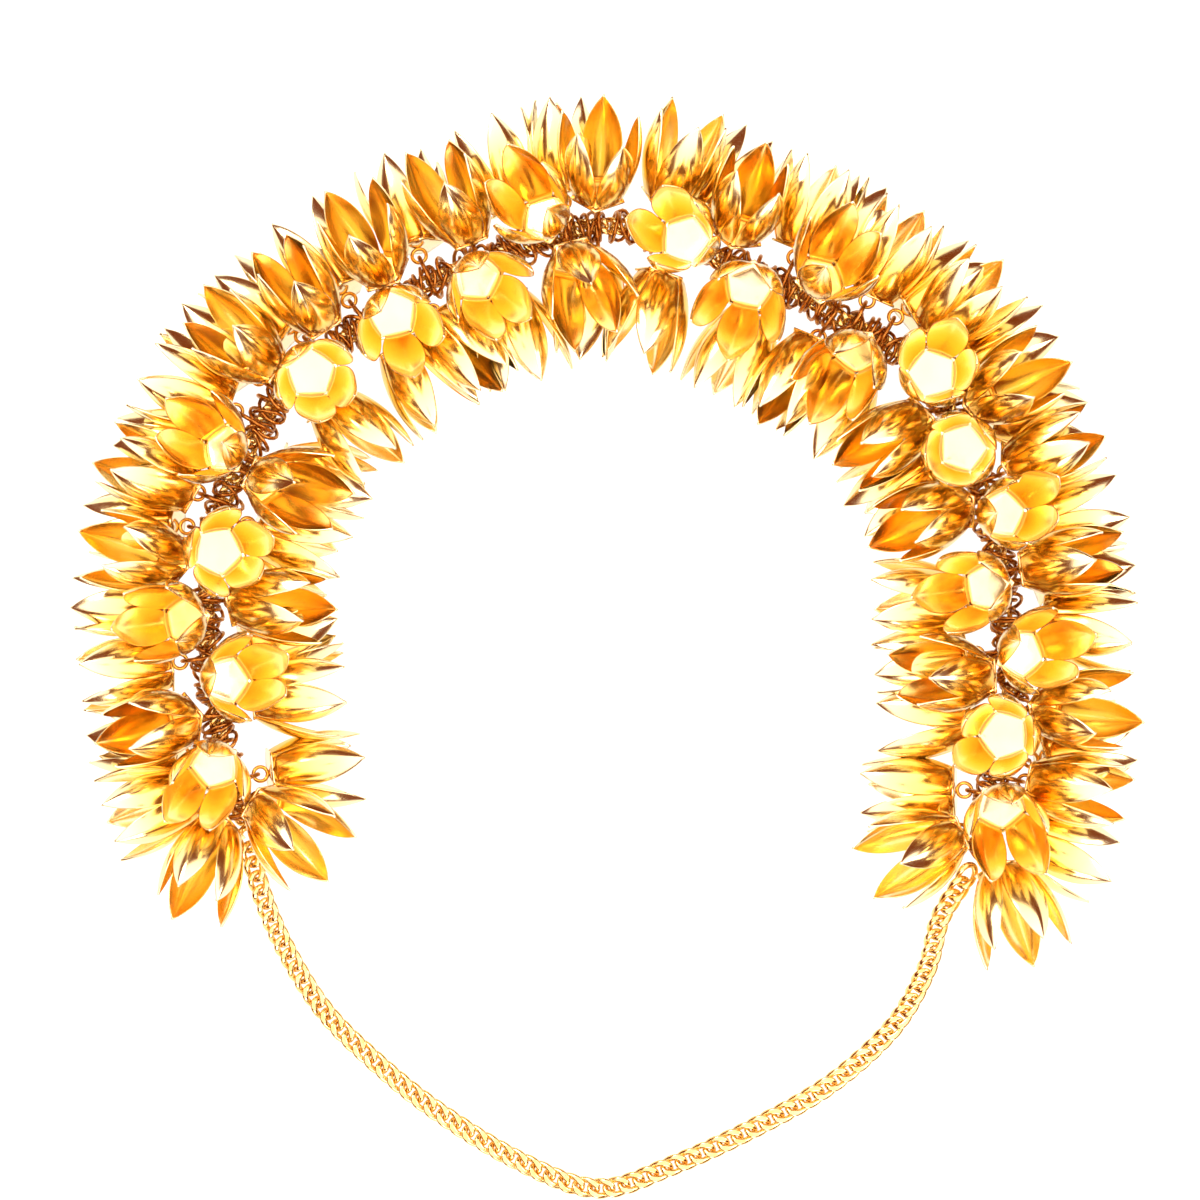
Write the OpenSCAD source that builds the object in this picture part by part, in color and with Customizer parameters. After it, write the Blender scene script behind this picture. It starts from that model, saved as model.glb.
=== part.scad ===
// Gajra for a hair bun, laid flat and seen from above.
// A curb chain bends round the bun in a horseshoe and is hung all round with stamped metal flower cups.
// Each cup is five pointed petals on a five-sided floor, with a loop soldered under it.
// A jump ring joins that loop to the chain. Below the flowers the chain runs on bare and closes the loop.
// Millimetres, +Z up. The flowers at the sides rest on the floor with their petals.

/* [Horseshoe] */
// Centre of the bun opening, from the middle of the part, left to right
mid_x = -0.1; // [-10:0.1:10]
// Centre of the bun opening, from the middle of the part, towards the top of the horseshoe
mid_y = 5.9; // [-20:0.1:30]
// Height of the hidden chain above the floor
core_h = 14.3; // [10:0.1:22]
// The hidden chain's distance from the centre, by degrees clockwise from the top
core_rows = [
  [-124, 76.5], [-112, 74], [-100, 72.5], [-80, 73], [-60, 72], [-38, 69.5], [-18, 69], [0, 71.5],
  [20, 68.5], [35, 69], [54, 73], [70, 72], [90, 72], [108, 76], [127, 80]
]; // columns: along, radius
// Where the flowers end on the left, in degrees from the top
core_first = -119.5; // [-130:0.5:-90]
// Where the flowers end on the right, in degrees from the top
core_last = 123.5; // [90:0.5:130]
// Radius of the hidden chain under the rings
core_r = 1.6; // [1:0.05:2.2]

/* [Flower cup] */
// Thickness of the stamped sheet
sheet = 0.45; // [0.3:0.05:0.8]
// Distance from the middle of the five-sided floor to each of its edges
floor_r = 3.9; // [3:0.1:6]
// Radius of the ball that each petal is pressed over
petal_r = 20; // [12:0.5:40]
// How far a petal leans out at its foot, from the upright
petal_flare = 40; // [20:1:60]
// Length of a petal along its curve
petal_len = 17.5; // [12:0.5:24]
// Lean of the line in which the two cut sides of a petal meet at its tip
tip_lean = 19.4; // [0:0.1:45]
// Half of the angle between the two cut sides
tip_half = 59.6; // [30:0.1:75]
// Most that a petal is pressed inward where its flower has a close neighbour
press_max = 12; // [0:1:25]
// Air kept between a pressed petal and the neighbour's half of the space
press_air = 0.6; // [0.2:0.05:1]

/* [Jump rings] */
// Radius of a jump ring to the middle of its wire
ring_r = 3.6; // [3:0.1:5]
// Half the thickness of a jump ring's wire
ring_wire = 0.4; // [0.3:0.05:0.6]
// Radius of the loop soldered under a flower, to the middle of its wire
loop_r = 1.3; // [1:0.05:2]
// Half the thickness of that loop's wire
loop_wire = 0.35; // [0.25:0.05:0.5]
// Distance from the hidden chain's middle to the middle of a flower's floor
reach = 7.1; // [6:0.1:9]
// Least turn along the horseshoe between two rings
ring_step = 1.3; // [1:0.1:3]

/* [Flowers] */
// The flowers that face up: place along the horseshoe, roll to the outside, lean along the chain, turn of the cup
front_rows = [
  [-118, 40, -42, 27], [-116.3, -45, -42, 50], [-110, 12, -16, 20], [-99, -26, 0, 62],
  [-90, 26, 0, 10], [-80, -16, 0, 55], [-66, 26, 0, 30], [-50, -13, 0, 67],
  [-35, -18, 0, 14], [-21, -26, 8, 9], [-8, 24, -12, 66], [12, 4, -12, 38],
  [23, -26, 0, 45], [32, 30, 4, 20], [42, -36, 0, 50], [53, 5, -3, 30],
  [64.2, -9, 2, 38], [75, 14, 0, 19], [85, -26, 0, 40], [95, 18, 0, 15],
  [106, -12, 2, 30], [115, 10, 20, 57], [120, -58, 36, 20], [122, 52, 46, 50]
]; // columns: along, roll, lean, spin
// The rows at the sides: first and last place, number, side of the chain, that is 1 outside and -1 inside
side_rows = [[-116, 120, 24, 1], [-114, 117, 16, -1], [-118, 122, 13, 1], [-118, 122, 13, -1]]; // columns: first, last, count, side
// Roll of a side flower when it has all the room it wants
side_roll = 48; // [30:1:80]
// Most that a side flower rolls under its neighbours
side_roll_max = 106; // [90:1:130]
// How much side flowers lean back and forth along the chain
side_lean = 5; // [0:1:15]
// Room between two flowers at their floors
low_gap = 11.3; // [8:0.1:16]
// Room between two flowers at their bellies
belly_gap = 14.4; // [10:0.1:18]
// Room between two flowers at their mouths
mouth_gap = 13; // [10:0.1:18]
// Room between one flower's belly and another's mouth
mix_gap = 13.8; // [10:0.1:18]

/* [Bare chain] */
// Way of the bare chain from its left end to its right, from the centre of the bun opening
chain_rows = [
  [-62.5, -51], [-58, -62], [-52, -72], [-44, -80.2], [-32, -90], [-16, -99.8], [-1.6, -104.8],
  [12, -100.6], [28.4, -93], [42, -85], [52.6, -75], [58.4, -64], [60.8, -54]
]; // columns: to the right, to the top
// Pitch of the links
link_pitch = 2.8; // [2.4:0.05:4]
// Half length of a link's middle line
link_a = 1.95; // [1.5:0.05:3]
// Half width of a link's middle line
link_b = 1.48; // [1:0.02:2]
// How far a link is twisted out of its plane, so that it lies flat in its neighbours
link_twist = 0.55; // [0.3:0.05:1]
// Half the thickness of the chain's wire
link_wire = 0.42; // [0.3:0.01:0.6]
// Length over which the chain comes down from the flowers to the floor
drop_len = 44; // [20:1:60]

/* [Hidden] */
$fn = 48;
ball_fn = 96;
full = 360;
petals = 5;
petal_turn = full / petals;
up = [0, 0, 1];
mid = [mid_x, mid_y, 0];
// Heights in a flower at which its room is measured
low_h = 3;
belly_h = 8.8;
mouth_h = 15;

function unit(v) = v / norm(v);
function eased(f) = (1 - cos(full / 2 * min(max(f, 0), 1))) / 2;
function pair_at(rows, a, i = 0) = i + 2 >= len(rows) || a < rows[i + 1][0] ? i : pair_at(rows, a, i + 1);

// The hidden chain: its distance, point, direction and outward side at a place along the horseshoe
function radius_at(a) = let (
    i = pair_at(core_rows, a),
    p = core_rows[i],
    q = core_rows[i + 1]
  ) p[1] + (q[1] - p[1]) * eased((a - p[0]) / (q[0] - p[0]));
function core_at(a) = mid + [radius_at(a) * sin(a), radius_at(a) * cos(a), core_h];
near_by = 0.5;
function along_dir(a) = unit(core_at(a + near_by) - core_at(a - near_by));
function out_dir(a) = cross(up, along_dir(a));
function rolled(a, roll) = cos(roll) * up + sin(roll) * out_dir(a);

// Jump rings: each clears the hidden chain by a hair on the flower's side
ring_air = 0.3;
ring_off = ring_r - ring_wire - core_r - ring_air;
pivot = ring_off + ring_r;

// A flower's record: its row of the table, the middle of its floor, its axis and three points up the axis
row_of = 0;
foot_of = 1;
axis_of = 2;
low_of = 3;
belly_of = 4;
mouth_of = 5;
along_of = 0;
roll_of = 1;
lean_of = 2;
spin_of = 3;
function stand(row) = let (
    n = rolled(row[along_of], row[roll_of]),
    z = cos(row[lean_of]) * n + sin(row[lean_of]) * along_dir(row[along_of]),
    foot = core_at(row[along_of]) + pivot * n + (reach - pivot) * z
  ) [row, foot, z, foot + low_h * z, foot + belly_h * z, foot + mouth_h * z];
function along_gap(f, g) = abs(f[row_of][along_of] - g[row_of][along_of]);
function roomy(f, g) = along_gap(f, g) >= ring_step
  && norm(f[low_of] - g[low_of]) >= low_gap
  && norm(f[belly_of] - g[belly_of]) >= belly_gap
  && norm(f[mouth_of] - g[mouth_of]) >= mouth_gap
  && norm(f[belly_of] - g[mouth_of]) >= mix_gap
  && norm(f[mouth_of] - g[belly_of]) >= mix_gap;
function roomy_all(f, near, i = 0) = i >= len(near) || (roomy(f, near[i]) && roomy_all(f, near, i + 1));

// A side flower nestles: it rolls down from its place, a little to either side, until it has room
shifts = [0, 1, -1, 2, -2, 3, -3, 4, -4];
roll_step = 3;
tries = len(shifts) * (floor((side_roll_max - side_roll) / roll_step) + 1);
near_turn = 30;
function nestle(a, side, lean, spin, near, k = 0) = k >= tries ? undef : let (
    roll = side * (side_roll + roll_step * floor(k / len(shifts))),
    f = stand([a + shifts[k % len(shifts)], roll, lean, spin])
  ) roomy_all(f, near) ? f : nestle(a, side, lean, spin, near, k + 1);
lean_turn = 275;
spin_turn = 20;
function hang_row(row, placed, i = 0) = i >= row[2] ? placed : let (
    a = row[0] + (row[1] - row[0]) * i / (row[2] - 1),
    near = [for (g = placed) if (abs(g[row_of][along_of] - a) < near_turn + len(shifts)) g],
    f = nestle(a, row[3], side_lean * sin(lean_turn * i), (spin_turn * i) % petal_turn, near)
  ) hang_row(row, f == undef ? placed : concat(placed, [f]), i + 1);
function hang_rows(placed, r = 0) = r >= len(side_rows) ? placed : hang_rows(hang_row(side_rows[r], placed), r + 1);
flowers = hang_rows([for (row = front_rows) stand(row)]);

// A flower's own directions: across, sideways and up its axis
function side_dir(f) = unit(cross(f[axis_of], cos(f[row_of][roll_of]) * out_dir(f[row_of][along_of])
  - sin(f[row_of][roll_of]) * up));
function cup_y(f) = let (
    s = f[row_of][spin_of],
    y = side_dir(f)
  ) cos(s) * y - sin(s) * cross(y, f[axis_of]);
function cup_x(f) = cross(cup_y(f), f[axis_of]);
function placing(x, y, z, t) = [for (i = [0:2]) [x[i], y[i], z[i], t[i]]];

// Petal: a patch of a pressed ball, cut by two planes that meet at the tip
ball = [floor_r - petal_r * cos(petal_flare), 0, petal_r * sin(petal_flare)];
function petal_point(s, w) = let (
    a = s / petal_r * full / (2 * PI) - petal_flare,
    b = asin(w / petal_r)
  ) ball + (petal_r + sheet / 2) * [cos(b) * cos(a), sin(b), cos(b) * sin(a)];
tip_a = petal_len / petal_r * full / (2 * PI) - petal_flare;
tip = ball + petal_r * [cos(tip_a), 0, sin(tip_a)];
// Where a petal's outer face is tried against its neighbours
petal_rows = [
  [3, 3.25], [4.5, 3.6], [6.5, 3.8], [8, 3.8], [10, 3.55], [12, 3.05], [14.5, 2.05], [17.5, 0], [5, 0], [8, 0], [11, 0],
  [14, 0]
]; // columns: along, half width
feelers = [for (row = petal_rows) for (side = row[1] > 0 ? [-1, 1] : [1]) petal_point(row[0], side * row[1])];
hinge = [floor_r, 0, 0];
near_belly = 24;
least_rate = 0.02;
// How far a petal is pressed inward, so that it stays on its own side of the plane between two bellies
function press_for(f, x, y, near, p) = let (
    q = f[foot_of] + p[0] * x + p[1] * y + p[2] * f[axis_of],
    v = ((hinge[2] - p[2]) * x + (p[0] - hinge[0]) * f[axis_of]) * 2 * PI / full
  ) max([for (g = near) let (
      w = g[belly_of] - f[belly_of],
      m = unit(w),
      over = (q - f[belly_of]) * m - (norm(w) - press_air) / 2,
      rate = -(v * m)
    ) over > 0 && rate > least_rate ? over / rate : 0]);
function presses_for(f, near) = let (
    cx = cup_x(f),
    cy = cup_y(f)
  ) [for (k = [0:petals - 1]) let (
      x = cos(petal_turn * k) * cx + sin(petal_turn * k) * cy,
      y = cos(petal_turn * k) * cy - sin(petal_turn * k) * cx
    ) max([for (p = feelers) press_for(f, x, y, near, p)])];
// A flower turns on its loop, as little as it must, until its petals need little pressing
turns = [0, 6, -6, 12, -12, 18, -18, 24, -24, 30, -30, 36];
press_easy = 10.5;
function turned(f, d) = concat([[for (i = [0:spin_of]) f[row_of][i] + (i == spin_of ? d : 0)]], [for (i = [foot_of:mouth_of]) f[i]]);
function settled(f) = let (
    near = [for (g = flowers) let (gap = norm(g[belly_of] - f[belly_of])) if (gap > 0 && gap < near_belly) g],
    tried = [for (d = turns) let (g = turned(f, d)) [g, len(near) == 0 ? [0, 0, 0, 0, 0] : presses_for(g, near)]],
    least = min([for (t = tried) max(t[1])])
  ) [for (t = tried) if (max(t[1]) <= max(press_easy, least)) t][0];

// The floor runs out past the petals' feet, which stand in it
floor_lip = 0.7 * sheet;
reach_out = 20;
module petal() {
  cut = reach_out * tan(tip_half);
  intersection() {
    translate(ball) rotate([0, 0, full / 2]) difference() {
      sphere(r = petal_r + sheet / 2, $fn = ball_fn);
      sphere(r = petal_r - sheet / 2, $fn = ball_fn);
    }
    translate(tip) rotate([0, tip_lean, 0]) linear_extrude(3 * reach_out, center = true)
      polygon([[0, 0], [reach_out, cut], [reach_out, -cut]]);
    translate([0, -reach_out / 2, 0]) cube(reach_out);
  }
}

module wire_loop(r, wire) rotate_extrude() translate([r, 0]) circle(r = wire);

// One flower cup: floor, five petals and the soldered loop, one solid
module cup(hung) {
  found = settled(hung);
  f = found[0];
  press = found[1];
  sink = 0.1;
  multmatrix(placing(cup_x(f), cup_y(f), f[axis_of], f[foot_of])) {
    rotate([0, 0, petal_turn / 2]) translate([0, 0, -sheet / 2])
      cylinder(r = (floor_r + floor_lip) / cos(petal_turn / 2), h = sheet, $fn = petals);
    for (k = [0:petals - 1]) rotate([0, 0, petal_turn * k])
      translate(hinge) rotate([0, -min(press[k], press_max), 0]) translate(-hinge) petal();
    rotate([0, 0, full / 4 - f[row_of][spin_of]]) translate([0, 0, sink - loop_r - loop_wire - sheet / 2])
      rotate([full / 4, 0, 0]) wire_loop(loop_r, loop_wire);
  }
}

// The jump ring of a flower
module jump_ring(f) {
  n = rolled(f[row_of][along_of], f[row_of][roll_of]);
  t = along_dir(f[row_of][along_of]);
  multmatrix(placing(n, cross(t, n), t, core_at(f[row_of][along_of]) + ring_off * n)) wire_loop(ring_r, ring_wire);
}

// Faces of a closed or open row of rings of points
function wrap(turns, sides, closed, first = 0) = [
  for (i = [0:turns - (closed ? 1 : 2)]) for (j = [0:sides - 1]) let (
      a = i * sides + j,
      b = i * sides + (j + 1) % sides,
      c = ((i + 1) % turns) * sides + (j + 1) % sides,
      d = ((i + 1) % turns) * sides + j
    ) for (face = [[a, b, c], [a, c, d]]) [for (q = face) q + first]
];

// The hidden chain, as one tube with a ring of points every two diameters or so
core_turns = 36;
core_sides = 8;
module core_chain() {
  points = [for (i = [0:core_turns - 1]) let (
      a = core_first + (core_last - core_first) * i / (core_turns - 1),
      o = out_dir(a)
    ) for (j = [0:core_sides - 1]) core_at(a) + core_r * (cos(full * j / core_sides) * o + sin(full * j / core_sides) * up)];
  faces = concat(
    wrap(core_turns, core_sides, false),
    [[for (j = [0:core_sides - 1]) core_sides - 1 - j]],
    [[for (j = [0:core_sides - 1]) (core_turns - 1) * core_sides + j]]
  );
  polyhedron(points, faces);
}

// The bare chain's way: a smooth line through its rows, from one end of the hidden chain to the other
run_in = 12;
plan = concat(
  [core_at(core_first + run_in) - mid, core_at(core_first) - mid],
  [for (row = chain_rows) [row[0], row[1], 0]],
  [core_at(core_last) - mid, core_at(core_last - run_in) - mid]
);
cuts = 8;
function smooth(p, q, r, s, t) = (2 * q + (r - p) * t + (2 * p - 5 * q + 4 * r - s) * t * t
  + (3 * q - p - 3 * r + s) * t * t * t) / 2;
function flat(v) = [v[0], v[1], 0];
way_flat = [for (i = [1:len(plan) - 3]) for (k = [0:cuts - 1]) flat(smooth(plan[i - 1], plan[i], plan[i + 1], plan[i + 2], k / cuts)),
  flat(plan[len(plan) - 2])];
function lengths(way, i = 0, sum = 0, out = []) = i >= len(way) ? out
  : let (s = i == 0 ? 0 : sum + norm(way[i] - way[i - 1])) lengths(way, i + 1, s, concat(out, [s]));
flat_len = lengths(way_flat);
chain_lift = 0.01;
chain_low = link_twist + link_wire + chain_lift;
way = [for (i = [0:len(way_flat) - 1]) let (
    from_end = min(flat_len[i], flat_len[len(way_flat) - 1] - flat_len[i])
  ) mid + way_flat[i] + [0, 0, chain_low + (core_h - chain_low) * (1 - eased(from_end / drop_len))]];
way_len = lengths(way);
way_total = way_len[len(way) - 1];
function way_at(s, i = 0) = i + 2 >= len(way) || s < way_len[i + 1]
  ? way[i] + (way[i + 1] - way[i]) * (s - way_len[i]) / (way_len[i + 1] - way_len[i])
  : way_at(s, i + 1);

// One link of the bare chain, its middle line bent out of its plane like a saddle
link_turns = 12;
link_sides = 5;
function link_line(t) = [link_a * cos(t), link_b * sin(t), link_twist * sin(2 * t)];
link_points = [for (i = [0:link_turns - 1]) let (
    step = full / link_turns,
    t = (i + 0.5) * step,
    way_dir = unit(link_line(t + step) - link_line(t - step)),
    rough = [link_b * cos(t), link_a * sin(t), 0],
    o = unit(rough - way_dir * (rough * way_dir)),
    n = cross(way_dir, o)
  ) for (j = [0:link_sides - 1]) link_line(t) + link_wire * (cos(full * j / link_sides) * o + sin(full * j / link_sides) * n)];
link_faces = wrap(link_turns, link_sides, true);
chain_air = 0.3;
link_room = link_a + link_wire + chain_air;
link_count = floor((way_total - 2 * link_room) / link_pitch) + 1;
link_step = (way_total - 2 * link_room) / (link_count - 1);
module free_chain() for (k = [0:link_count - 1]) {
  s = link_room + k * link_step;
  t = unit(way_at(s + link_pitch / 2) - way_at(s - link_pitch / 2));
  w = unit(cross(up, t));
  multmatrix(placing(t, w, cross(t, w), way_at(s))) polyhedron(link_points, link_faces);
}

// Which flower is in which node
front_count = len(front_rows);
function is_side(f, side) = f[row_of][roll_of] * side > 0;
side_flowers = [for (i = [front_count:len(flowers) - 1]) flowers[i]];
inner_flowers = [for (f = side_flowers) if (is_side(f, -1)) f];
outer_flowers = [for (f = side_flowers) if (is_side(f, 1)) f];

module front_flower(i) color("gold") cup(flowers[i]);
module inner_flower(i) color("goldenrod") cup(inner_flowers[i]);
module outer_field(left) color("khaki") {
  for (f = outer_flowers) if ((f[row_of][along_of] < 0) == left) cup(f);
}
module ring_field(left) color("darkgoldenrod") {
  for (f = flowers) if ((f[row_of][along_of] < 0) == left) jump_ring(f);
}

for (i = [1:front_count]) front_flower(i - 1);
for (i = [1:len(inner_flowers)]) inner_flower(i - 1);
outer_field(true);  // outer_flowers_left
outer_field(false);  // outer_flowers_right
ring_field(true);  // jump_rings_left
ring_field(false);  // jump_rings_right
color("saddlebrown") core_chain();
color("gold") free_chain();
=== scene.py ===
# Gajra of gold-plated metal flowers, laid flat on a pale table and seen from straight above.
# Flower cups are stamped sheet, hung by jump rings on a curb chain that closes the loop below them.
import math

import bpy
import numpy as np
from mathutils import Matrix, Vector


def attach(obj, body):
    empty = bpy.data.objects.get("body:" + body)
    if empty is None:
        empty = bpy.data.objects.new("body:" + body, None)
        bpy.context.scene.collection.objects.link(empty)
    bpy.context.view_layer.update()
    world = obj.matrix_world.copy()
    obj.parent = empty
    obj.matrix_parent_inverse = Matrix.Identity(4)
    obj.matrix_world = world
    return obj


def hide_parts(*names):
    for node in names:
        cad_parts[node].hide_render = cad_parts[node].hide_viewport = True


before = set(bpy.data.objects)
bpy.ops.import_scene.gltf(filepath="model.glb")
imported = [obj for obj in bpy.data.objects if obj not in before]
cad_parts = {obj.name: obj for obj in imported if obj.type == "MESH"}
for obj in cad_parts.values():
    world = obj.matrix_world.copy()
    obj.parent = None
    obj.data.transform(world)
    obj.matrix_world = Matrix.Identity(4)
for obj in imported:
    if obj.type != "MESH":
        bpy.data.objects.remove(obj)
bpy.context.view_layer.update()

MM = 0.001
PER_MM = 1000.0  # pattern cells in a metre, for one in each millimetre
UP = np.array([0.0, 0.0, 1.0])

# Sizes of the horseshoe, in millimetres and degrees, the same as in the part's source
MID = np.array([-0.1, 5.9, 0.0])
CORE_H = 14.3
CORE_ROWS = [
    (-124, 76.5), (-112, 74), (-100, 72.5), (-80, 73), (-60, 72), (-38, 69.5), (-18, 69), (0, 71.5),
    (20, 68.5), (35, 69), (54, 73), (70, 72), (90, 72), (108, 76), (127, 80),
]  # along, radius
CORE_FIRST, CORE_LAST = -119.5, 123.5
CORE_R = 1.6
HALF_STEP = 0.5  # to either side, where a direction is taken

# Flower cup
SHEET = 0.45
FLOOR_R = 3.9
PETALS = 5
PETAL_TURN = 72
PETAL_R = 20.0
PETAL_FLARE = 40.0
PETAL_LEN = 17.5
PRESS_MAX = 12.0
PRESS_EASY = 10.5
PRESS_AIR = 0.6

# Jump rings and loops
RING_R, RING_WIRE = 3.6, 0.4
LOOP_R, LOOP_WIRE = 1.3, 0.35
REACH = 7.1
RING_STEP = 1.3
RING_AIR = 0.3
RING_OFF = RING_R - RING_WIRE - CORE_R - RING_AIR
PIVOT = RING_OFF + RING_R

# The flowers that face up, then the rule that hangs the others beside them
FRONT_ROWS = [
    (-118, 40, -42, 27), (-116.3, -45, -42, 50), (-110, 12, -16, 20), (-99, -26, 0, 62),
    (-90, 26, 0, 10), (-80, -16, 0, 55), (-66, 26, 0, 30), (-50, -13, 0, 67),
    (-35, -18, 0, 14), (-21, -26, 8, 9), (-8, 24, -12, 66), (12, 4, -12, 38),
    (23, -26, 0, 45), (32, 30, 4, 20), (42, -36, 0, 50), (53, 5, -3, 30),
    (64.2, -9, 2, 38), (75, 14, 0, 19), (85, -26, 0, 40), (95, 18, 0, 15),
    (106, -12, 2, 30), (115, 10, 20, 57), (120, -58, 36, 20), (122, 52, 46, 50),
]  # along, roll, lean, spin
SIDE_ROWS = [
    (-116, 120, 24, 1), (-114, 117, 16, -1), (-118, 122, 13, 1), (-118, 122, 13, -1),
]  # first, last, count, side
SIDE_ROLL, SIDE_ROLL_MAX, SIDE_LEAN = 48, 106, 5
LOW_H, BELLY_H, MOUTH_H = 3.0, 8.8, 15.0
LOW_GAP, BELLY_GAP, MOUTH_GAP, MIX_GAP = 11.3, 14.4, 13.0, 13.8
SHIFTS = (0, 1, -1, 2, -2, 3, -3, 4, -4)
ROLL_STEP = 3
TURNS = (0, 6, -6, 12, -12, 18, -18, 24, -24, 30, -30, 36)
NEAR_TURN = 30
LEAN_TURN, SPIN_TURN = 275, 20
NEAR_BELLY, LEAST_RATE = 24.0, 0.02

# Bare chain
CHAIN_ROWS = [
    (-62.5, -51), (-58, -62), (-52, -72), (-44, -80.2), (-32, -90), (-16, -99.8), (-1.6, -104.8),
    (12, -100.6), (28.4, -93), (42, -85), (52.6, -75), (58.4, -64), (60.8, -54),
]  # to the right, to the top
LINK_PITCH, LINK_A, LINK_TWIST, LINK_WIRE = 2.8, 1.95, 0.55, 0.42
DROP_LEN = 44
CHAIN_AIR = 0.3
CHAIN_LIFT = 0.01


def unit(v):
    return v / np.linalg.norm(v)


def cos(a):
    return math.cos(math.radians(a))


def sin(a):
    return math.sin(math.radians(a))


def eased(f):
    """A soft step from 0 to 1."""
    return (1 - math.cos(math.pi * min(max(f, 0), 1))) / 2


# The hidden chain: its distance, point, direction and outward side at a place along the horseshoe
def radius_at(a):
    i = 0
    while i + 2 < len(CORE_ROWS) and a >= CORE_ROWS[i + 1][0]:
        i += 1
    (a0, r0), (a1, r1) = CORE_ROWS[i], CORE_ROWS[i + 1]
    return r0 + (r1 - r0) * eased((a - a0) / (a1 - a0))


def core_at(a):
    return MID + np.array([radius_at(a) * sin(a), radius_at(a) * cos(a), CORE_H])


def along_dir(a):
    return unit(core_at(a + HALF_STEP) - core_at(a - HALF_STEP))


def out_dir(a):
    return np.cross(UP, along_dir(a))


def rolled(a, roll):
    return cos(roll) * UP + sin(roll) * out_dir(a)


class Flower:
    """A flower's place: its row, the middle of its floor, its axis and where its room is measured."""

    def __init__(self, along, roll, lean, spin):
        self.row = (along, roll, lean, spin)
        n = rolled(along, roll)
        self.axis = cos(lean) * n + sin(lean) * along_dir(along)
        self.foot = core_at(along) + PIVOT * n + (REACH - PIVOT) * self.axis
        self.low, self.belly, self.mouth = (self.foot + h * self.axis for h in (LOW_H, BELLY_H, MOUTH_H))
        side = unit(np.cross(self.axis, cos(roll) * out_dir(along) - sin(roll) * UP))
        self.y = cos(spin) * side - sin(spin) * np.cross(side, self.axis)
        self.x = np.cross(self.y, self.axis)

    def roomy(self, other):
        far = np.linalg.norm
        return (abs(self.row[0] - other.row[0]) >= RING_STEP
                and far(self.low - other.low) >= LOW_GAP
                and far(self.belly - other.belly) >= BELLY_GAP
                and far(self.mouth - other.mouth) >= MOUTH_GAP
                and far(self.belly - other.mouth) >= MIX_GAP
                and far(self.mouth - other.belly) >= MIX_GAP)


def nestle(a, side, lean, spin, near):
    """A side flower rolls down from its place, a little to either side, until it has room."""
    tries = len(SHIFTS) * ((SIDE_ROLL_MAX - SIDE_ROLL) // ROLL_STEP + 1)
    for k in range(tries):
        roll = side * (SIDE_ROLL + ROLL_STEP * (k // len(SHIFTS)))
        flower = Flower(a + SHIFTS[k % len(SHIFTS)], roll, lean, spin)
        if all(flower.roomy(other) for other in near):
            return flower
    return None


def hang_flowers():
    flowers = [Flower(*row) for row in FRONT_ROWS]
    for first, last, count, side in SIDE_ROWS:
        for i in range(count):
            a = first + (last - first) * i / (count - 1)
            near = [f for f in flowers if abs(f.row[0] - a) < NEAR_TURN + len(SHIFTS)]
            found = nestle(a, side, SIDE_LEAN * sin(LEAN_TURN * i), (SPIN_TURN * i) % PETAL_TURN, near)
            if found:
                flowers.append(found)
    return flowers


def presses_for(flower, near):
    """How far each petal is pressed inward, in degrees, to stay on its own side between two bellies."""
    out = []
    for k in range(PETALS):
        x = cos(PETAL_TURN * k) * flower.x + sin(PETAL_TURN * k) * flower.y
        y = cos(PETAL_TURN * k) * flower.y - sin(PETAL_TURN * k) * flower.x
        q = flower.foot + FEELERS @ np.array([x, y, flower.axis]) - flower.belly
        v = math.radians(1) * (np.outer(FEELERS[:, 0] - FLOOR_R, flower.axis) - np.outer(FEELERS[:, 2], x))
        need = 0.0
        for g in near:
            w = g.belly - flower.belly
            over = q @ unit(w) - (np.linalg.norm(w) - PRESS_AIR) / 2
            rate = -(v @ unit(w))
            pressed = (over > 0) & (rate > LEAST_RATE)
            need = max([need, *(over[pressed] / rate[pressed])])
        out.append(need)
    return out


def settled(hung, flowers):
    """A flower turns on its loop, as little as it must, until its petals need little pressing."""
    near = [g for g in flowers if 0 < np.linalg.norm(g.belly - hung.belly) < NEAR_BELLY]
    tried = []
    for d in TURNS:
        flower = Flower(*hung.row[:3], hung.row[3] + d)
        flower.press = presses_for(flower, near)
        tried.append((max(flower.press), flower))
        if tried[-1][0] <= PRESS_EASY:
            break
    least = max(PRESS_EASY, min(t[0] for t in tried))
    flower = next(f for worst, f in tried if worst <= least)
    flower.strain = max(flower.press)
    flower.press = [min(p, PRESS_MAX) for p in flower.press]
    return flower


# Petal: a patch of a pressed ball whose middle line starts at the floor's edge
BALL = np.array([FLOOR_R - PETAL_R * cos(PETAL_FLARE), 0, PETAL_R * sin(PETAL_FLARE)])


def petal_point(s, w, lift=0.0):
    """A point of the ball: s along the petal, w to its side, lift outwards from the ball."""
    a = math.degrees(s / PETAL_R) - PETAL_FLARE
    b = math.degrees(math.asin(w / PETAL_R))
    return BALL + (PETAL_R + lift) * np.array([cos(b) * cos(a), sin(b), cos(b) * sin(a)])


FEELER_ROWS = [
    (3, 3.25), (4.5, 3.6), (6.5, 3.8), (8, 3.8), (10, 3.55), (12, 3.05), (14.5, 2.05), (17.5, 0),
    (5, 0), (8, 0), (11, 0), (14, 0),
]  # along, half width
FEELERS = np.array([petal_point(s, side * w, SHEET / 2)
                    for s, w in FEELER_ROWS for side in ((-1, 1) if w else (1,))])


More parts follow.
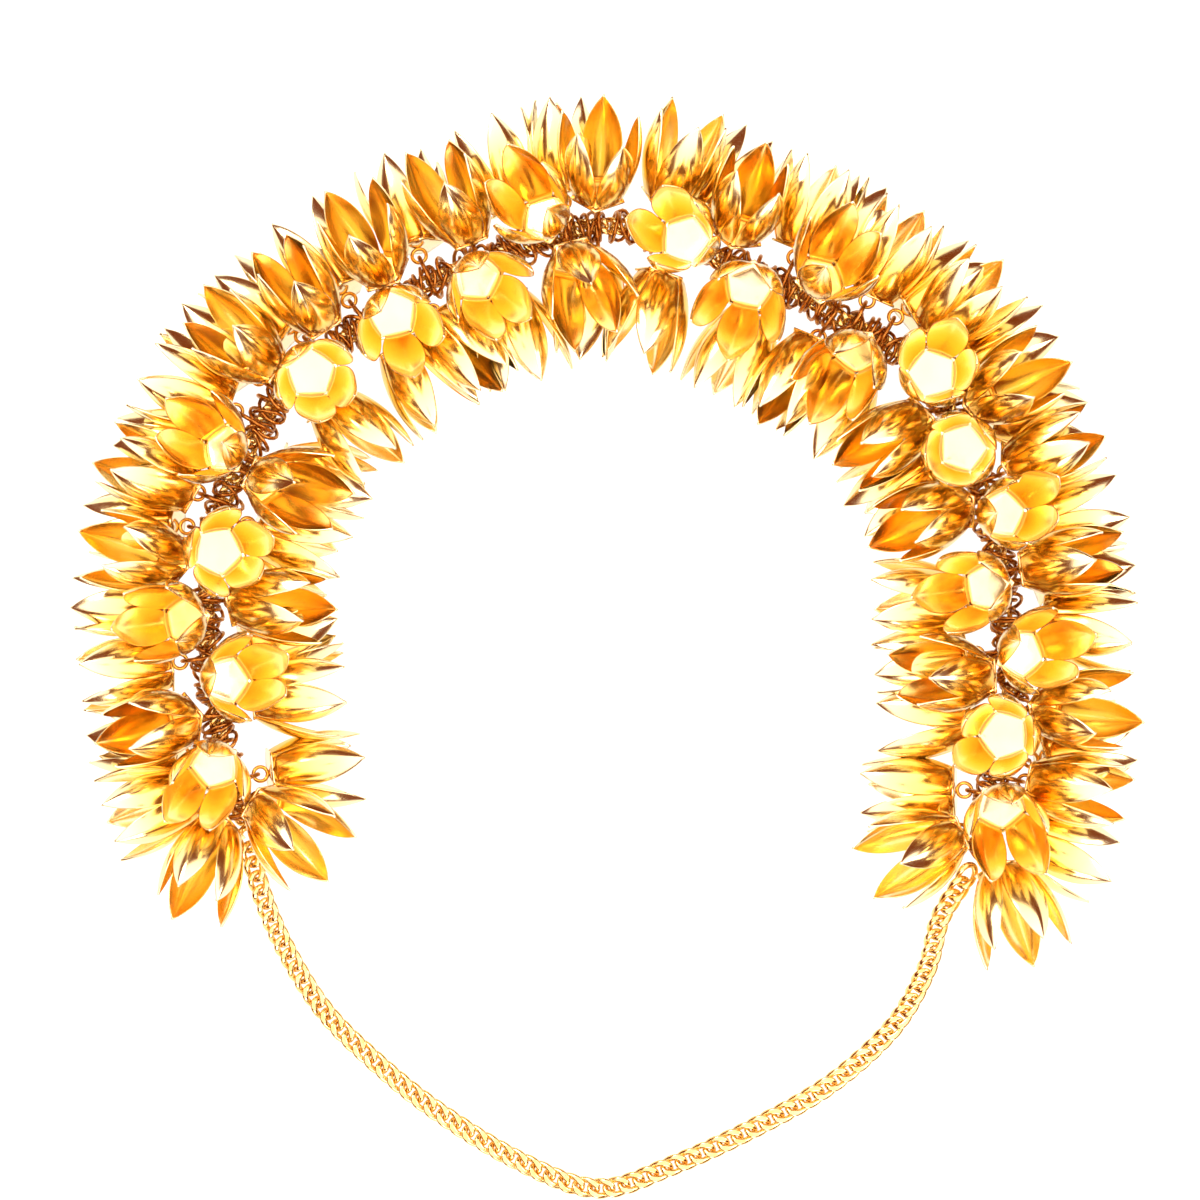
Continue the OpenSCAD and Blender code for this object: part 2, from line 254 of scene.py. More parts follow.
# Flowers past the number of the solids, deep between the others: each goes where they leave it most room
FILL_STEP = 2
FILL_ROLLS = range(74, 105, 4)
FILL_LEANS = (-26, -13, 0, 13, 26)
FILL_ENDS = (2, 1)  # kept free at the two ends of the horseshoe
FILL_LEAST = 0.55  # the least room, as a share of what the rule above asks for
FILL_MOST = 24
FILL_STRAIN = 60  # the most pressing, in degrees, that a place may ask for


def tips(flower):
    """The tips of a flower's petals, unpressed."""
    out, up = petal_point(PETAL_LEN, 0)[[0, 2]]
    return np.array([flower.foot + out * (cos(PETAL_TURN * k) * flower.x + sin(PETAL_TURN * k) * flower.y)
                     + up * flower.axis for k in range(PETALS)])


def fill_flowers(flowers):
    """Flowers pushed in between the others, one after another, until the room is used up."""
    reached = np.concatenate([tips(f) for f in flowers])
    lowest, highest = reached.min(axis=0), reached.max(axis=0)
    spots = [Flower(a, side * roll, lean, (SPIN_TURN * a) % PETAL_TURN)
             for a in np.arange(CORE_FIRST + FILL_ENDS[0], CORE_LAST - FILL_ENDS[1], FILL_STEP)
             for side in (1, -1) for roll in FILL_ROLLS for lean in FILL_LEANS]
    spots = [s for s in spots if (tips(s) > lowest).all() and (tips(s) < highest).all()]
    low, belly, mouth = (np.array([getattr(s, part) for s in spots]) for part in ("low", "belly", "mouth"))

    def crowd(f):
        pairs = ((low, f.low, LOW_GAP), (belly, f.belly, BELLY_GAP), (mouth, f.mouth, MOUTH_GAP),
                 (belly, f.mouth, MIX_GAP), (mouth, f.belly, MIX_GAP))
        return np.min([np.linalg.norm(points - point, axis=1) / gap for points, point, gap in pairs], axis=0)

    room = np.min([crowd(f) for f in flowers], axis=0)
    found = []
    while len(found) < FILL_MOST and room.max() > FILL_LEAST:
        best = int(room.argmax())
        if settled(spots[best], flowers + found).strain < FILL_STRAIN:
            found.append(spots[best])
            room = np.minimum(room, crowd(spots[best]))
        room[best] = 0
    return found


def smooth(rows, t):
    """A smooth line through rows of numbers; t runs from 0 to the last row."""
    i = min(int(t), len(rows) - 2)
    f = t - i
    p, q, r, s = (np.array(rows[min(max(j, 0), len(rows) - 1)], float) for j in (i - 1, i, i + 1, i + 2))
    return (2 * q + (r - p) * f + (2 * p - 5 * q + 4 * r - s) * f**2 + (3 * q - p - 3 * r + s) * f**3) / 2


def reading(row, share):
    """A smooth reading from a row of evenly spaced numbers, at a share of its length."""
    return float(smooth([(n,) for n in row], share * (len(row) - 1))[0])


def to_mesh(name, points, faces, uv=None):
    """A mesh in metres from points in millimetres, smooth, with an optional UV place for each point."""
    mesh = bpy.data.meshes.new(name)
    mesh.from_pydata([tuple(float(c) * MM for c in p) for p in points], [], faces)
    mesh.polygons.foreach_set("use_smooth", [True] * len(mesh.polygons))
    if uv is not None:
        layer = mesh.uv_layers.new(name="UVMap")
        for loop in mesh.loops:
            layer.data[loop.index].uv = uv[loop.vertex_index]
    mesh.update()
    return mesh


def wrap_faces(turns, sides, closed):
    """Quads between rings of points; the row of rings is closed on itself or capped at its ends."""
    faces = []
    for i in range(turns if closed else turns - 1):
        for j in range(sides):
            a, b = i * sides + j, i * sides + (j + 1) % sides
            c, d = ((i + 1) % turns) * sides + (j + 1) % sides, ((i + 1) % turns) * sides + j
            faces.append((a, b, c, d))
    if not closed:
        faces.append(tuple(reversed(range(sides))))
        faces.append(tuple((turns - 1) * sides + j for j in range(sides)))
    return faces


# The petal as it is stamped: a spoon with a keel at the tip, a thin rounded rim and pleats at its foot
PETAL_WIDTHS = [
    2.1, 2.81, 3.31, 3.64, 3.8, 3.8, 3.64, 3.32, 2.82, 2.12, 1.19, 0.05,
]  # half widths, evenly spaced along the petal
SPOON_DEPTH = 1.05
SPOON_ROWS = [0.12, 0.55, 0.9, 1.05, 1.05, 1.0, 0.9, 0.75, 0.45, 0.0]
KEEL_TIP, KEEL_MORE = 1.2, 0.9  # the spoon is sharp in the middle at the tip, and rounder at the foot
PLEATS = 5
PLEAT_DEPTH = 0.07
PLEAT_LEN = 6.0
PLEAT_FADE = 0.7
PLEAT_UNDER = 0.5  # how much of a pleat shows below
RIM_SHEET = 0.3
RIM_ROUND = 0.12
RIM_FADE = 3
PETAL_CUTS_ALONG, PETAL_CUTS_ACROSS = 18, 12
CUT_CROWD = 1.25  # brings the cuts closer together towards the tip


def stamped_petal():
    points, uv = [], []
    across = [math.sin(math.pi / 2 * t) for t in np.linspace(-1, 1, PETAL_CUTS_ACROSS + 1)]
    for i in range(PETAL_CUTS_ALONG + 1):
        f = i / PETAL_CUTS_ALONG
        s = PETAL_LEN * (1 - (1 - f) ** CUT_CROWD)
        half = reading(PETAL_WIDTHS, s / PETAL_LEN)
        spoon = SPOON_DEPTH * reading(SPOON_ROWS, s / PETAL_LEN)
        keel = KEEL_TIP + KEEL_MORE * (1 - f)
        ring_out, ring_in = [], []
        for v in across:
            lift = -spoon * abs(v) ** keel
            pleat = PLEAT_DEPTH * math.cos(math.pi * PLEATS * v) * max(0.0, 1 - s / PLEAT_LEN) ** PLEAT_FADE
            thick = RIM_SHEET + (SHEET - RIM_SHEET) * (1 - abs(v) ** RIM_FADE)
            ring_out.append((petal_point(s, half * v, lift + thick / 2 + pleat), (0.5 + v / 2, f)))
            ring_in.append((petal_point(s, half * v, lift - thick / 2 + pleat * PLEAT_UNDER), (0.5 + v / 2, f)))
        edge = [(petal_point(s, half * v + RIM_ROUND * v, -spoon), (0.5 + v / 2, f)) for v in (-1, 1)]
        ring = [edge[0]] + ring_out + [edge[1]] + ring_in[::-1]
        points += [p - np.array([FLOOR_R, 0, 0]) for p, _ in ring]
        uv += [t for _, t in ring]
    sides = 2 * (PETAL_CUTS_ACROSS + 2)
    faces = wrap_faces(PETAL_CUTS_ALONG + 1, sides, False)
    return to_mesh("stamped_petal", points, faces, uv)


def wire_ring(radius, wire, turns, sides):
    """Points and faces of a ring of round wire."""
    points = []
    for t in np.linspace(0, 2 * math.pi, turns, endpoint=False):
        for q in np.linspace(0, 2 * math.pi, sides, endpoint=False):
            reach = radius + wire * math.cos(q)
            points.append((reach * math.cos(t), reach * math.sin(t), wire * math.sin(q)))
    return points, wrap_faces(turns, sides, True)


# Floor of the cup, slightly dished, with a raised line before its edge, and the soldered loop under it
FLOOR_RINGS = [  # share of the floor's size, height in sheets from the middle of the sheet
    (0.02, 0.26), (0.3, 0.28), (0.55, 0.36), (0.7, 0.47), (0.76, 0.58), (0.81, 0.5), (0.98, 0.5), (1.0, 0.2),
    (1.0, -0.3), (0.96, -0.5), (0.5, -0.5), (0.02, -0.5),
]
FLOOR_CUTS = 6
FLOOR_LAP = 0.7  # how far the floor reaches under the petals, in sheets
# The loop under the cup takes the tone of a petal's foot, the deepest painted shade; the floor takes a paler
# place on that painted shade ramp
FLOOR_TONE, LOOP_PAINTED_SHADE = (0.5, 0.75), (0.5, 0.0)  # places on a petal whose tone the floor and the loop have
LOOP_CUTS, RING_CUTS, SMALL_CUTS = (24, 8), (32, 8), (16, 6)  # round the ring, round the wire


def cup_floor():
    outline = []
    for k in range(PETALS):
        a, b = (np.array([cos(PETAL_TURN * (q + 0.5)), sin(PETAL_TURN * (q + 0.5))]) for q in (k, k + 1))
        for i in range(FLOOR_CUTS):
            outline.append(a + (b - a) * i / FLOOR_CUTS)
    size = (FLOOR_R + FLOOR_LAP * SHEET) / cos(PETAL_TURN / 2)
    points = [(size * share * p[0], size * share * p[1], SHEET * up)
              for share, up in FLOOR_RINGS for p in outline]
    faces = wrap_faces(len(FLOOR_RINGS), len(outline), False)
    return to_mesh("cup_floor", points, [tuple(reversed(f)) for f in faces], [FLOOR_TONE] * len(points))


def soldered_loop():
    points, faces = wire_ring(LOOP_R, LOOP_WIRE, *LOOP_CUTS)
    points = [(p[0], -p[2], p[1]) for p in points]
    # painted shade: the loop, under the cup, has the deepest tone of the petal's ramp
    return to_mesh("soldered_loop", points, faces, [LOOP_PAINTED_SHADE] * len(points))


def jump_ring():
    points, faces = wire_ring(RING_R, RING_WIRE, *RING_CUTS)
    return to_mesh("jump_ring", points, faces)


# Small rings that crowd on the hidden chain between the jump rings; in the darkened ring wire they also fill
# the gaps between the cups with painted shade
SMALL_R, SMALL_WIRE = 2.8, 0.36
SMALL_PITCH = 1.15
SMALL_TILT = 42
SMALL_SLACK = 0.75
SMALL_END = 1  # kept free at the ends of each half
SMALL_SEED = 5


def small_ring():
    """Few faces, because there are hundreds of it."""
    points, faces = wire_ring(SMALL_R, SMALL_WIRE, *SMALL_CUTS)
    return to_mesh("small_ring", points, faces)


# One curb link: a saddle-shaped ring of stout wire, rolled broad and filed flat above and below
HIDDEN_SHARE = 0.84  # the hidden chain's links against the bare chain's
LINE_A, LINE_B = 2.1, 1.36
LINK_BROAD, LINK_FLAT = 0.6, 0.78
LINK_TURNS, LINK_SIDES = 20, 10


def curb_link(name, share=1.0):
    """A link, at its size or at a share of it."""
    def line(t):
        return np.array([LINE_A * math.cos(t), LINE_B * math.sin(t), LINK_TWIST * math.sin(2 * t)])

    points = []
    step = 2 * math.pi / LINK_TURNS
    for t in [(i + 0.5) * step for i in range(LINK_TURNS)]:
        way = unit(line(t + step / 2) - line(t - step / 2))
        rough = np.array([LINE_B * math.cos(t), LINE_A * math.sin(t), 0])
        out = unit(rough - way * (rough @ way))
        rise = np.cross(way, out)
        for q in np.linspace(0, 2 * math.pi, LINK_SIDES, endpoint=False):
            p = line(t) + LINK_BROAD * math.cos(q) * out + LINK_WIRE * math.sin(q) * rise
            points.append((share * p[0], share * p[1], share * min(max(p[2], -LINK_FLAT), LINK_FLAT)))
    return to_mesh(name, points, wrap_faces(LINK_TURNS, LINK_SIDES, True))


# Materials: the patterns' scales, in cells to a millimetre
GOLD_CLOUDS = 0.11  # plating tone, drifting over about 9 mm
GOLD_HAZE = 0.4  # polishing, uneven over 2.5 mm
GOLD_WAVES = 0.31  # waves of the pressing, about 3 mm long
GOLD_GRAIN = 2.9  # polishing grain, drawn as coarse as it shows, a third of a millimetre
WAVE_DEPTH, GRAIN_DEPTH = 0.12, 0.02
TONE_DRIFT = 0.35  # how far the clouds shift the tone, against the way from floor to tip
WIRE_CLOUDS = 0.62  # plating tone, 1.6 mm
WIRE_HAZE = 2.0  # a wire's own width, half a millimetre
WIRE_MARKS = 4.0  # draw marks, drawn as coarse as they show, a quarter of a millimetre
MARK_DEPTH = 0.03
SHINE_SPREAD = 0.12
TABLE_CLOUDS = 0.017  # the pane's unevenness, 60 mm
DUST = 0.3  # dust on the black paint, 3 mm


def linear(code):
    """A colour given as a hex value in sRGB, turned linear."""
    parts = [int(code[i:i + 2], 16) / 255 for i in (1, 3, 5)]
    return tuple(c / 12.92 if c <= 0.04045 else ((c + 0.055) / 1.055) ** 2.4 for c in parts) + (1.0,)


def add(tree, kind, settings=None, inputs=None, links=None):
    """Adds a node with its settings, socket values and links from other nodes' outputs."""
    node = tree.nodes.new(kind)
    for key, value in (settings or {}).items():
        setattr(node, key, value)
    for key, value in (inputs or {}).items():
        node.inputs[key].default_value = value
    for key, source in (links or {}).items():
        tree.links.new(source, node.inputs[key])
    return node


def set_stops(ramp_node, stops):
    """Sets the stops of a colour ramp: place and colour."""
    elements = ramp_node.color_ramp.elements
    while len(elements) < len(stops):
        elements.new(0.5)
    for element, (place, code) in zip(elements, stops):
        element.position = place
        element.color = linear(code)


def shell(name, **sockets):
    """A new material with its shader and output, and the shader's plain values."""
    mat = bpy.data.materials.new(name)
    mat.use_nodes = True
    tree = mat.node_tree
    tree.nodes.clear()
    shader = add(tree, "ShaderNodeBsdfPrincipled", inputs=sockets)
    add(tree, "ShaderNodeOutputMaterial", links={"Surface": shader.outputs["BSDF"]})
    return mat, tree, shader


def gold_plated_stamped_brass():
    # Brass sheet stamped, polished and bright plated: a soft mirror that turns the light yellow, deeper at each
    # reflection inside a cup, with the faint waves of the pressing; its colour is painted shade, deeper at a
    # petal's foot in the cup and paler at its tip, with random plating clouds.
    mat, tree, shader = shell("gold_plated_stamped_brass", Metallic=1.0)
    place = add(tree, "ShaderNodeTexCoord").outputs["Object"]
    along = add(tree, "ShaderNodeUVMap", {"uv_map": "UVMap"})
    split = add(tree, "ShaderNodeSeparateXYZ", links={"Vector": along.outputs["UV"]})
    cloud = add(tree, "ShaderNodeTexNoise", inputs={"Scale": GOLD_CLOUDS * PER_MM, "Detail": 2.0},
                links={"Vector": place})
    # painted shade: the place from a petal's foot to its tip, shifted by the random plating clouds, picks the
    # tone
    depth = add(tree, "ShaderNodeMath", {"operation": "MULTIPLY_ADD"}, {1: TONE_DRIFT},
                {0: cloud.outputs["Fac"], 2: split.outputs["Y"]})
    tone = add(tree, "ShaderNodeValToRGB", links={"Fac": depth.outputs["Value"]})
    # deep orange at the foot, pale cream at the tip: painted shade, not a colour of the plating
    set_stops(tone, [(0.1, "#EFAC49"), (0.4, "#FED66A"), (1.0, "#FFEDBC")])
    tree.links.new(tone.outputs["Color"], shader.inputs["Base Color"])
    haze = add(tree, "ShaderNodeTexNoise", inputs={"Scale": GOLD_HAZE * PER_MM, "Detail": 2.0},
               links={"Vector": place})
    rough = add(tree, "ShaderNodeMapRange", inputs={"To Min": 0.12, "To Max": 0.24},
                links={"Value": haze.outputs["Fac"]})
    tree.links.new(rough.outputs["Result"], shader.inputs["Roughness"])
    waves = add(tree, "ShaderNodeTexNoise", inputs={"Scale": GOLD_WAVES * PER_MM, "Detail": 1.0},
                links={"Vector": place})
    grain = add(tree, "ShaderNodeTexNoise", inputs={"Scale": GOLD_GRAIN * PER_MM, "Detail": 2.0},
                links={"Vector": place})
    first = add(tree, "ShaderNodeBump", inputs={"Strength": 0.22, "Distance": WAVE_DEPTH * MM},
                links={"Height": waves.outputs["Fac"]})
    second = add(tree, "ShaderNodeBump", inputs={"Strength": 0.12, "Distance": GRAIN_DEPTH * MM},
                 links={"Height": grain.outputs["Fac"], "Normal": first.outputs["Normal"]})
    tree.links.new(second.outputs["Normal"], shader.inputs["Normal"])
    return mat


def gold_plated_wire(name, low, high, rough):
    # Round drawn wire, plated after it was bent: bright, with fine draw marks that soften the shine.
    mat, tree, shader = shell(name, Metallic=1.0)
    place = add(tree, "ShaderNodeTexCoord").outputs["Object"]
    cloud = add(tree, "ShaderNodeTexNoise", inputs={"Scale": WIRE_CLOUDS * PER_MM, "Detail": 3.0},
                links={"Vector": place})
    tone = add(tree, "ShaderNodeValToRGB", links={"Fac": cloud.outputs["Fac"]})
    set_stops(tone, [(0.3, low), (0.7, high)])
    tree.links.new(tone.outputs["Color"], shader.inputs["Base Color"])
    haze = add(tree, "ShaderNodeTexNoise", inputs={"Scale": WIRE_HAZE * PER_MM}, links={"Vector": place})
    shine = add(tree, "ShaderNodeMapRange", inputs={"To Min": rough, "To Max": rough + SHINE_SPREAD},
                links={"Value": haze.outputs["Fac"]})
    tree.links.new(shine.outputs["Result"], shader.inputs["Roughness"])
    marks = add(tree, "ShaderNodeTexNoise", inputs={"Scale": WIRE_MARKS * PER_MM}, links={"Vector": place})
    bump = add(tree, "ShaderNodeBump", inputs={"Strength": 0.2, "Distance": MARK_DEPTH * MM},
               links={"Height": marks.outputs["Fac"]})
    tree.links.new(bump.outputs["Normal"], shader.inputs["Normal"])
    return mat


def pale_table():
    # The white pane of a light table: its own even light washes the shadows out, with the faintest cloud in it.
    sockets = {"Roughness": 0.8, "Base Color": linear("#8C8A86"), "Emission Strength": 1.0}
    mat, tree, shader = shell("pale_table", **sockets)
    place = add(tree, "ShaderNodeTexCoord").outputs["Object"]
    cloud = add(tree, "ShaderNodeTexNoise", inputs={"Scale": TABLE_CLOUDS * PER_MM}, links={"Vector": place})
    tone = add(tree, "ShaderNodeValToRGB", links={"Fac": cloud.outputs["Fac"]})
    set_stops(tone, [(0.2, "#FDFCFA"), (0.8, "#FFFFFF")])
    tree.links.new(tone.outputs["Color"], shader.inputs["Emission Color"])
    return mat


def camera_black():
    # Matt black paint, nearly even, with a little dust on it.
    mat, tree, shader = shell("camera_black", Roughness=0.7)
    place = add(tree, "ShaderNodeTexCoord").outputs["Object"]
    dust = add(tree, "ShaderNodeTexNoise", inputs={"Scale": DUST * PER_MM}, links={"Vector": place})
    tone = add(tree, "ShaderNodeValToRGB", links={"Fac": dust.outputs["Fac"]})
    set_stops(tone, [(0.3, "#060606"), (0.9, "#151413")])
    tree.links.new(tone.outputs["Color"], shader.inputs["Base Color"])
    return mat


# Geometry Nodes: each point holds one of up to three forms, turned as the point says, and all have one finish
FORMS = ("First form", "Second form", "Third form")


def hanging_tree():
    tree = bpy.data.node_groups.new("hang_forms", "GeometryNodeTree")
    face = tree.interface
    face.new_socket("Points", in_out="INPUT", socket_type="NodeSocketGeometry")
    for name in FORMS:
        face.new_socket(name, in_out="INPUT", socket_type="NodeSocketObject")
    face.new_socket("Finish", in_out="INPUT", socket_type="NodeSocketMaterial")
    face.new_socket("Geometry", in_out="OUTPUT", socket_type="NodeSocketGeometry")
    given = add(tree, "NodeGroupInput")
    turn = add(tree, "GeometryNodeInputNamedAttribute", {"data_type": "FLOAT_VECTOR"}, {"Name": "turn"})
    rotation = add(tree, "FunctionNodeEulerToRotation", links={0: turn.outputs["Attribute"]})
    which = add(tree, "GeometryNodeInputNamedAttribute", {"data_type": "INT"}, {"Name": "which_form"})
    join = add(tree, "GeometryNodeJoinGeometry")
    for k in reversed(range(len(FORMS))):
        chosen = add(tree, "FunctionNodeCompare", {"data_type": "INT", "operation": "EQUAL"}, {3: k},
                     {2: which.outputs["Attribute"]})
        info = add(tree, "GeometryNodeObjectInfo", {"transform_space": "ORIGINAL"},
                   links={"Object": given.outputs[FORMS[k]]})
        hung = add(tree, "GeometryNodeInstanceOnPoints", links={
            "Points": given.outputs["Points"], "Selection": chosen.outputs["Result"],
            "Instance": info.outputs["Geometry"], "Rotation": rotation.outputs[0],
        })
        tree.links.new(hung.outputs["Instances"], join.inputs["Geometry"])
    real = add(tree, "GeometryNodeRealizeInstances", links={"Geometry": join.outputs["Geometry"]})
    finish = add(tree, "GeometryNodeSetMaterial", links={
        "Geometry": real.outputs["Geometry"], "Material": given.outputs["Finish"],
    })
    add(tree, "NodeGroupOutput", links={"Geometry": finish.outputs["Geometry"]})
    return tree


def form_object(mesh):
    """An object in the scene that holds a mesh."""
    obj = bpy.data.objects.new(mesh.name, mesh)
    bpy.context.scene.collection.objects.link(obj)
    return obj


def hang(name, seats, forms, finish, node):
    """One piece, for a node if one is named: seats are pairs of a matrix and which form hangs there."""
    mesh = bpy.data.meshes.new(name)
    mesh.from_pydata([m.to_translation() for m, _ in seats], [], [])
    mesh.attributes.new("turn", "FLOAT_VECTOR", "POINT")
    mesh.attributes.new("which_form", "INT", "POINT")
    for i, (m, form) in enumerate(seats):
        mesh.attributes["turn"].data[i].vector = m.to_euler("XYZ")
        mesh.attributes["which_form"].data[i].value = form
    piece = form_object(mesh)
    hanger = piece.modifiers.new("hang", "NODES")
    hanger.node_group = TREE
    sockets = {s.name: s.identifier for s in TREE.interface.items_tree if s.in_out == "INPUT"}
    for label, form in zip(FORMS, forms):
        hanger[sockets[label]] = form
    hanger[sockets["Finish"]] = finish
    bpy.context.view_layer.update()
    made = bpy.data.meshes.new_from_object(piece.evaluated_get(bpy.context.evaluated_depsgraph_get()))
    piece.modifiers.clear()
    piece.data = made
    made.name = name
    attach(piece, "root")
    if node:
        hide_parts(node)


def placing(x, y, z, at):
    """A matrix in metres from three directions and a place in millimetres."""
    return Matrix([[x[i], y[i], z[i], at[i] * MM] for i in range(3)] + [[0, 0, 0, 1]])


LOOP_SINK = 0.1  # how far the loop is soldered into the floor


def cup_seats(flower):
    """Where the five petals, the floor and the loop of a flower go."""
    cup = placing(flower.x, flower.y, flower.axis, flower.foot)
    hinge = Matrix.Translation(Vector((FLOOR_R * MM, 0, 0)))
    seats = []
    for k in range(PETALS):
        turn = Matrix.Rotation(math.radians(PETAL_TURN * k), 4, "Z")
        seats.append((cup @ turn @ hinge @ Matrix.Rotation(math.radians(-flower.press[k]), 4, "Y"), 0))
    loop_down = Matrix.Translation(Vector((0, 0, (LOOP_SINK - LOOP_R - LOOP_WIRE - SHEET / 2) * MM)))
    loop = cup @ Matrix.Rotation(math.radians(90 - flower.row[3]), 4, "Z") @ loop_down
    return seats + [(cup, 1), (loop, 2)]


def ring_seat(flower):
    """Where the flower's jump ring goes, round the hidden chain."""
    n = rolled(flower.row[0], flower.row[1])
    t = along_dir(flower.row[0])
    return placing(n, np.cross(t, n), t, core_at(flower.row[0]) + RING_OFF * n), 0


def small_seats(first, last, rng):
    """Where the small rings go: all round the hidden chain, each tilted and dropped to a side by chance."""
    seats = []
    a = first
    while a < last:
        t = along_dir(a)
        o = out_dir(a)
        drop = rng.uniform(-SMALL_SLACK, SMALL_SLACK, 2)
        tilt, turn = rng.uniform(-SMALL_TILT, SMALL_TILT, 2)
        lie = Matrix.Rotation(math.radians(tilt), 4, "X") @ Matrix.Rotation(math.radians(turn), 4, "Y")
        seats.append((placing(o, np.cross(t, o), t, core_at(a) + drop[0] * o + drop[1] * UP) @ lie, 1))
        a += math.degrees(SMALL_PITCH / radius_at(a))
    return seats


# The bare chain's way, and the links along it
WAY_CUTS = 8
RUN_IN = 12


def bare_way():
    ends = [core_at(a) - MID for a in (CORE_FIRST + RUN_IN, CORE_FIRST, CORE_LAST, CORE_LAST - RUN_IN)]
    plan = [p[:2] for p in ends[:2]] + list(CHAIN_ROWS) + [p[:2] for p in ends[2:]]
    steps = (len(plan) - 3) * WAY_CUTS
    flat = [np.append(smooth(plan, 1 + i / WAY_CUTS), 0) for i in range(steps + 1)]
    gone = np.concatenate([[0], np.cumsum([np.linalg.norm(b - a) for a, b in zip(flat, flat[1:])])])
    low = LINK_TWIST + LINK_WIRE + CHAIN_LIFT
    way = []
    for p, s in zip(flat, gone):
        fall = eased(min(s, gone[-1] - s) / DROP_LEN)
        way.append(MID + p + np.array([0, 0, low + (CORE_H - low) * (1 - fall)]))
    return np.array(way)


def link_seats(way, room, pitch):
    """Seats for links at an even pitch along a way, each lying flat in it."""
    gone = np.concatenate([[0], np.cumsum(np.linalg.norm(np.diff(way, axis=0), axis=1))])

    def at(s):
        return np.array([np.interp(s, gone, way[:, i]) for i in range(3)])

    count = int((gone[-1] - 2 * room) // pitch) + 1
    step = (gone[-1] - 2 * room) / (count - 1)
    seats = []
    for k in range(count):
        s = room + k * step
        t = unit(at(s + pitch / 2) - at(s - pitch / 2))
        w = unit(np.cross(UP, t))
        seats.append((placing(t, w, np.cross(t, w), at(s)), 0))
    return seats


TREE = hanging_tree()
CUP_GOLD = gold_plated_stamped_brass()
# The ring wire's colours are painted shade: darker than the chain's, as the rings lie in the shade under and
# between the cups
RING_GOLD_PAINTED_SHADE = gold_plated_wire("gold_plated_ring_wire", "#9C5A20", "#D6944A", 0.2)
CHAIN_GOLD = gold_plated_wire("gold_plated_chain_wire", "#F3C877", "#FFE0A2", 0.1)

hung = hang_flowers()
flowers = [settled(f, hung) for f in hung]
added = fill_flowers(hung)
fillers = [settled(f, hung + added) for f in added]
sides = flowers[len(FRONT_ROWS):]
inner = [f for f in sides if f.row[1] < 0]
outer = [f for f in sides if f.row[1] > 0]

petal_form, floor_form, loop_form = (form_object(m) for m in (stamped_petal(), cup_floor(), soldered_loop()))
ring_form, small_form = form_object(jump_ring()), form_object(small_ring())
link_form = form_object(curb_link("bare_link"))
hidden_form = form_object(curb_link("hidden_link", HIDDEN_SHARE))
cup_forms = (petal_form, floor_form, loop_form)

cups = {f"front_flower_{i + 1}": [f] for i, f in enumerate(flowers[:len(FRONT_ROWS)])}
cups.update({f"inner_flower_{i + 1}": [f] for i, f in enumerate(inner)})
cups["outer_flowers_left"] = [f for f in outer if f.row[0] < 0]
cups["outer_flowers_right"] = [f for f in outer if f.row[0] >= 0]
fills = {
    "fill_flowers_left": [f for f in fillers if f.row[0] < 0],
    "fill_flowers_right": [f for f in fillers if f.row[0] >= 0],
}
for place, members in {**cups, **fills}.items():
    seats = [seat for f in members for seat in cup_seats(f)]
    hang("cup_" + place, seats, cup_forms, CUP_GOLD, place if place in cups else None)

rng = np.random.default_rng(SMALL_SEED)
for node, first, last in (("jump_rings_left", CORE_FIRST, 0), ("jump_rings_right", 0, CORE_LAST)):
    seats = [ring_seat(f) for f in flowers + fillers if (f.row[0] < 0) == (first < 0)]
    seats += small_seats(first + SMALL_END, last - SMALL_END, rng)
    hang("drawn_" + node, seats, (ring_form, small_form), RING_GOLD_PAINTED_SHADE, node)

room = LINK_A + LINK_WIRE + CHAIN_AIR
bare_seats = link_seats(bare_way(), room, LINK_PITCH)
hang("curb_free_chain", bare_seats, (link_form,), CHAIN_GOLD, "free_chain")
hidden_way = np.array([core_at(a) for a in np.arange(CORE_FIRST, CORE_LAST)])
hidden_seats = link_seats(hidden_way, HIDDEN_SHARE * (LINK_A + LINK_WIRE), HIDDEN_SHARE * LINK_PITCH)
hang("curb_core_chain", hidden_seats, (hidden_form,), CHAIN_GOLD, "core_chain")

for form in (*cup_forms, ring_form, small_form, link_form, hidden_form):
    bpy.data.objects.remove(form)

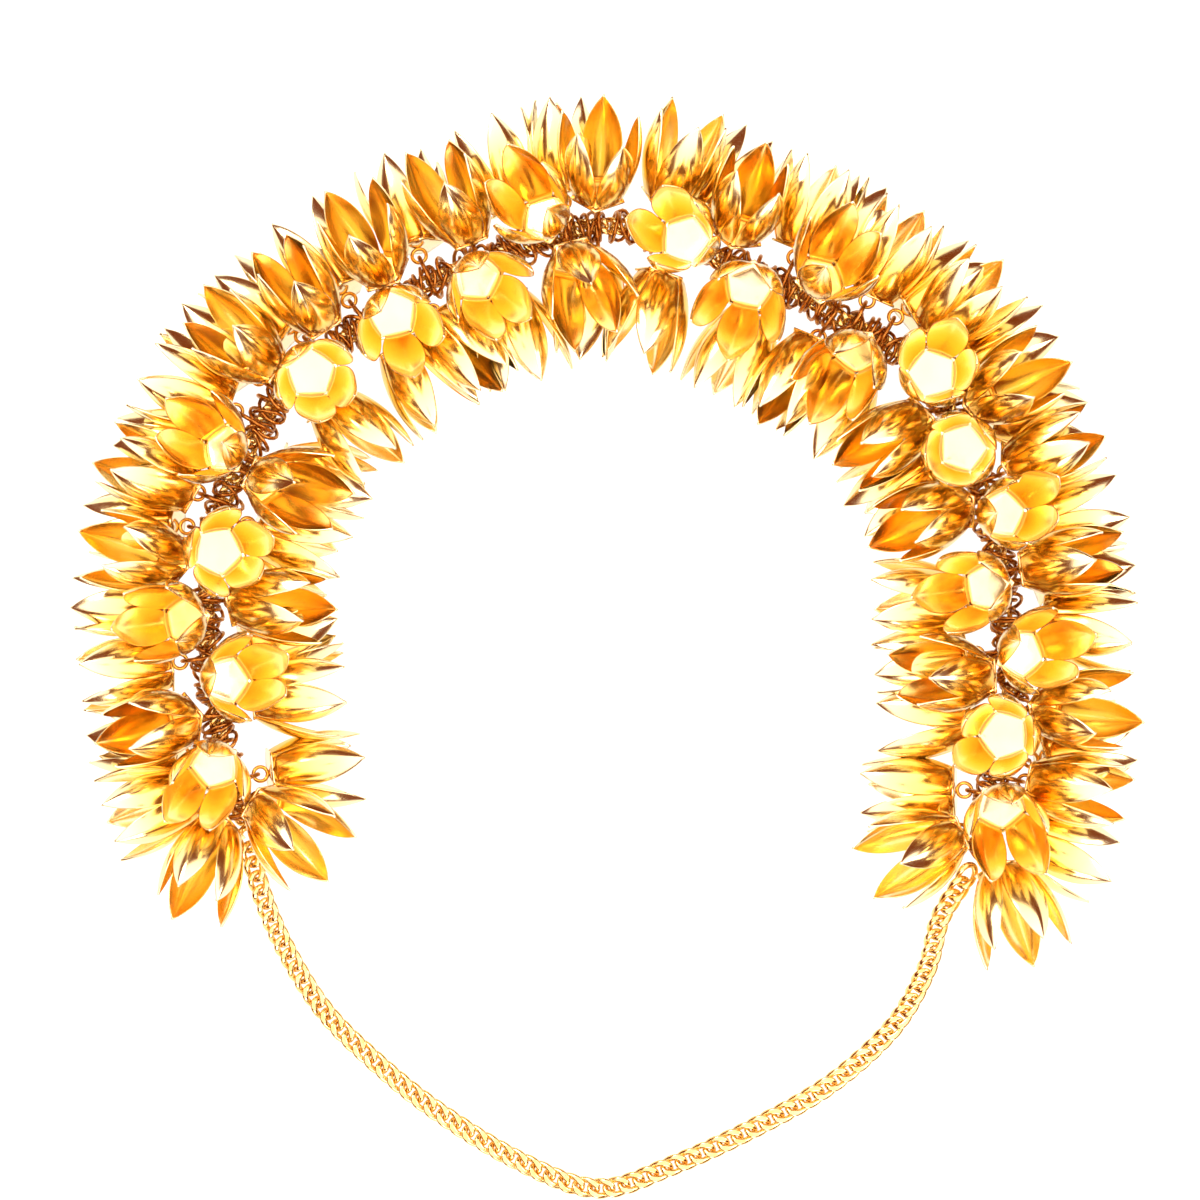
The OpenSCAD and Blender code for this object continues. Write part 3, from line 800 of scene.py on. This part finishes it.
# The table, the light and the camera
PX = 0.18  # millimetres of the object in a pixel of the photo
IMAGE = 1200
CENTRE_PX = (607, 620)  # the middle of the bun opening in the photo
LENS_MM, SENSOR_MM = 150, 36
LOOK_H = 22  # height at which the photo's scale holds
TABLE_SIZE, TABLE_DROP = 24000, 0.2
BODY_R, BODY_DEPTH, BODY_H = 55, 30, 1000
CLIP_END = 10  # metres
LIGHTS = [
    ("top_softbox", (0.0, 0.0, 1.2), 2.8, 47), ("key_softbox", (-0.45, 0.5, 0.55), 0.35, 3),
    ("fill_softbox", (0.65, 0.0, 0.45), 0.3, 1.6), ("low_softbox", (0.05, -0.7, 0.3), 0.3, 1.6),
]  # name, place in metres, side in metres, watts
WALL_TONE, WALL_LIGHT = "#A04A14", 0.6  # the dim warm room, which the petals mirror as their brown parts

bpy.ops.mesh.primitive_plane_add(size=TABLE_SIZE * MM, location=(0, 0, -TABLE_DROP * MM))
table = bpy.context.object
table.name = "table_top"
table.data.materials.append(pale_table())

for name, place, size, power in LIGHTS:
    light = bpy.data.lights.new(name, "AREA")
    light.shape = "SQUARE"
    light.size = size
    light.energy = power
    lamp = bpy.data.objects.new(name, light)
    lamp.location = place
    lamp.rotation_euler = (Vector((0, 0, 0)) - Vector(place)).to_track_quat("-Z", "Y").to_euler()
    bpy.context.scene.collection.objects.link(lamp)

# The camera's own dark body, which the petals mirror as small black spots
bpy.ops.mesh.primitive_cylinder_add(
    radius=BODY_R * MM, depth=BODY_DEPTH * MM, vertices=32, location=(0, 0, BODY_H * MM))
camera_body = bpy.context.object
camera_body.name = "camera_body"
camera_body.data.materials.append(camera_black())

world = bpy.data.worlds.new("studio")
bpy.context.scene.world = world
world.use_nodes = True
backdrop = world.node_tree.nodes["Background"]
backdrop.inputs["Color"].default_value = linear(WALL_TONE)
backdrop.inputs["Strength"].default_value = WALL_LIGHT

camera = bpy.data.objects.new("camera", bpy.data.cameras.new("camera"))
camera.data.lens = LENS_MM
camera.data.sensor_width = SENSOR_MM
camera.data.clip_end = CLIP_END
span = IMAGE * PX * MM
across = MID[0] + (IMAGE / 2 - CENTRE_PX[0]) * PX
up = MID[1] + (CENTRE_PX[1] - IMAGE / 2) * PX
camera.location = Vector((across, up, LOOK_H)) * MM + Vector((0, 0, span * LENS_MM / SENSOR_MM))
bpy.context.scene.collection.objects.link(camera)
bpy.context.scene.camera = camera
bpy.context.scene.view_settings.view_transform = "Standard"
